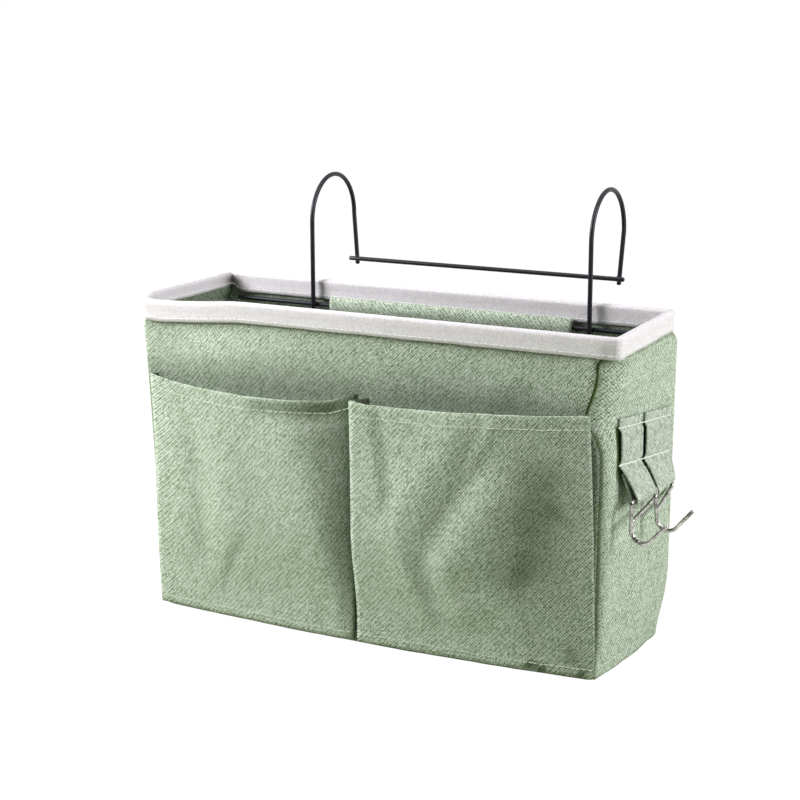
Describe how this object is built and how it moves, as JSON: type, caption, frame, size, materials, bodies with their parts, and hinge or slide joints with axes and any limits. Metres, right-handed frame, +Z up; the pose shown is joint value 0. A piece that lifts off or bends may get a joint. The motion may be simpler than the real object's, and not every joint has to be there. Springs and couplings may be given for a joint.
{
  "type": "bedside caddy",
  "caption": "Rectangular canvas bag with a bound rim, front pockets, a fold-down wire bracket that hooks over a bed rail, and small wire hooks on side straps.",
  "frame": {"origin": "centre of the bag's underside, on the surface it stands on", "axes": "+X along the bag to its right seen from the pockets' side, +Y back towards the bed rail, +Z up"},
  "size_m": [0.3504, 0.1681, 0.2768],
  "materials": {
    "canvas": "coarse sage-green linen weave",
    "tape": "off-white cotton binding tape",
    "black_wire": "semi-gloss black coating",
    "rim_steel": "plain drawn wire",
    "chrome": "bright plated wire",
    "board": "smooth sheet"
  },
  "bodies": {
    "bag": {"front_panel": "canvas", "back_panel": "canvas", "left_panel": "canvas", "right_panel": "canvas", "bottom_panel": "canvas", "base_board": "board", "rim_tape": "tape", "rim_wire": "rim_steel", "left_pocket": "canvas", "right_pocket": "canvas", "bar_casing": "canvas", "front_strap": "canvas", "rear_strap": "canvas"},
    "bracket": {"casing_bar": "black_wire", "left_rail_hook": "black_wire", "right_rail_hook": "black_wire", "tie_bar": "black_wire"},
    "front_hook": {"front_small_hook": "chrome"},
    "rear_hook": {"rear_small_hook": "chrome"}
  },
  "joints": [
    {"name": "bracket_swing", "type": "hinge", "parent": "bag", "child": "bracket", "pos_m": [0, 0.04455, 0.1913], "axis": [1, 0, 0], "range_deg": [0, 90]},
    {"name": "front_hook_swing", "type": "hinge", "parent": "bag", "child": "front_hook", "pos_m": [0.16425, -0.01425, 0.10769], "axis": [-0.0894, -0.996, 0], "range_deg": [-8, 100]},
    {"name": "rear_hook_swing", "type": "hinge", "parent": "bag", "child": "rear_hook", "pos_m": [0.16382, 0.02325, 0.10431], "axis": [0.0331, -0.9995, 0], "range_deg": [-5, 100]}
  ]
}
